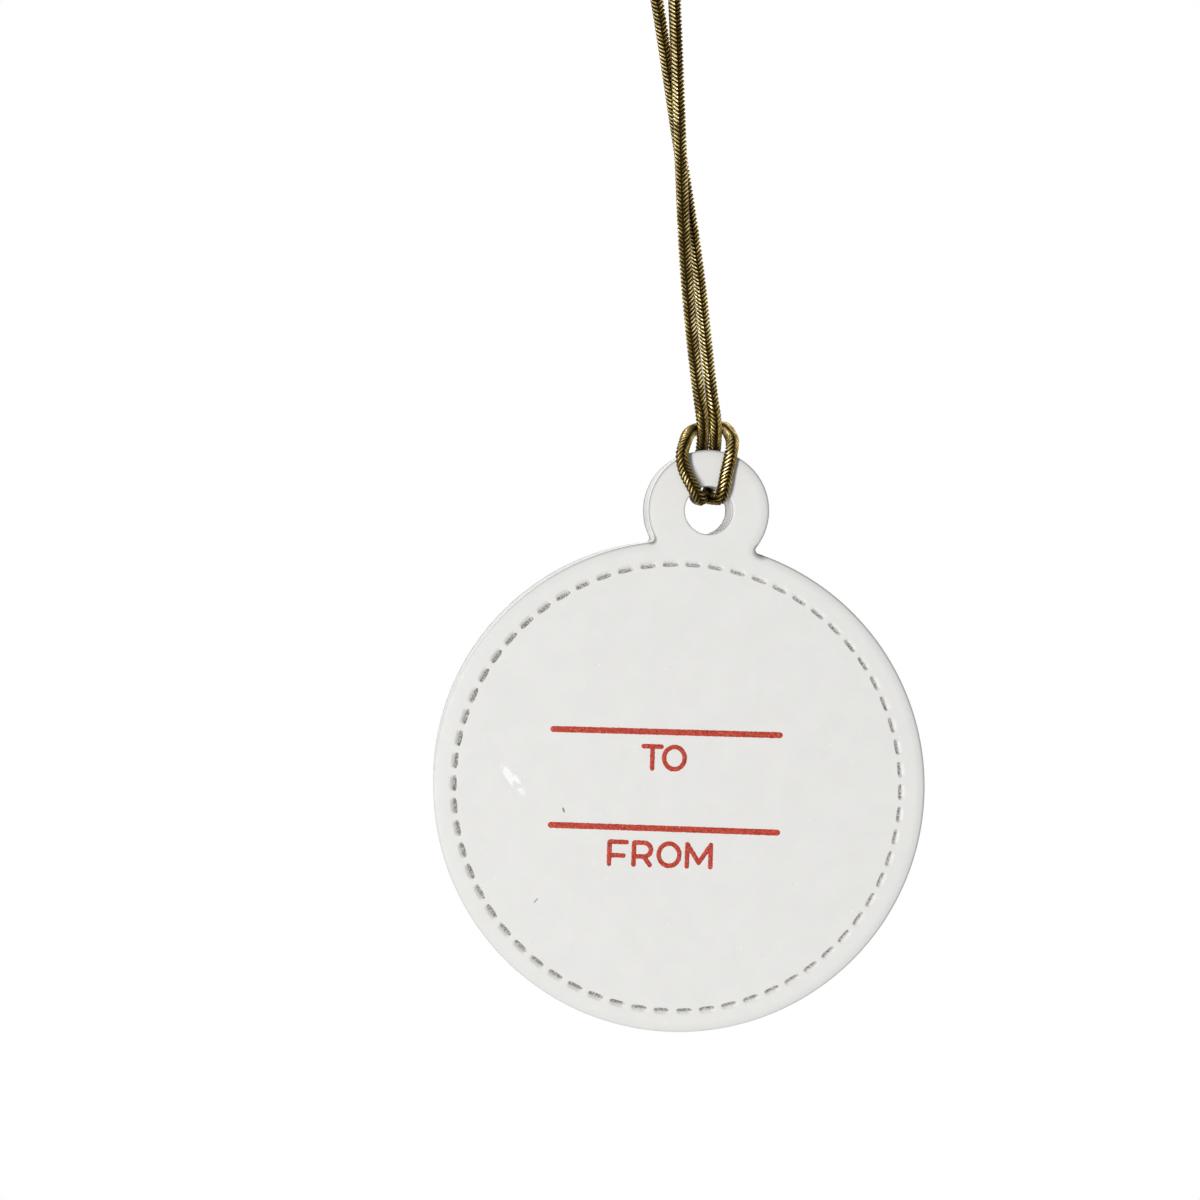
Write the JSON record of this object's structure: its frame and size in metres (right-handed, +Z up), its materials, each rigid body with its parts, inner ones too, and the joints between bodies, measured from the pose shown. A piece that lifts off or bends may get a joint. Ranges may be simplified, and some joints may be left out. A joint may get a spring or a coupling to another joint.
{
  "type": "gift tag",
  "caption": "Round white hang tag with a pierced tab, a ring of pressed stitch dents and red writing lines, hung on a gold braided cord hitched through the tab.",
  "frame": {"origin": "middle of the hanging eye, the open loop of cord under the knot, where a hook or peg carries the tag", "axes": "+X to the right seen from the printed face, +Y away from the viewer, through the tag's thickness, +Z up along the tag from the disc to the tab"},
  "size_m": [0.0634, 0.0078, 0.1673],
  "materials": {
    "white_facing": "satin",
    "core_board": "matte",
    "red_ink": "matte",
    "gold_cord": "metallic gold yarn, braided"
  },
  "bodies": {
    "cord": {"cord_rear_strand": "gold_cord", "cord_front_strand": "gold_cord", "cord_knot": "gold_cord", "cord_left_tail": "gold_cord", "cord_right_tail": "gold_cord"},
    "hitch": {"cord_hitch": "gold_cord"},
    "tag": {"core_board": "core_board", "front_facing": "white_facing", "back_facing": "white_facing", "upper_writing_line": "red_ink", "lower_writing_line": "red_ink"}
  },
  "joints": [
    {"name": "cord_flex", "type": "hinge", "parent": "cord", "child": "hitch", "pos_m": [0.01395, 0, -0.062], "axis": [1, 0, 0], "range_deg": [-75, 75]},
    {"name": "tag_swing", "type": "hinge", "parent": "hitch", "child": "tag", "pos_m": [0.0156, 0, -0.077], "axis": [0, 1, 0], "range_deg": [-80, 80]}
  ]
}
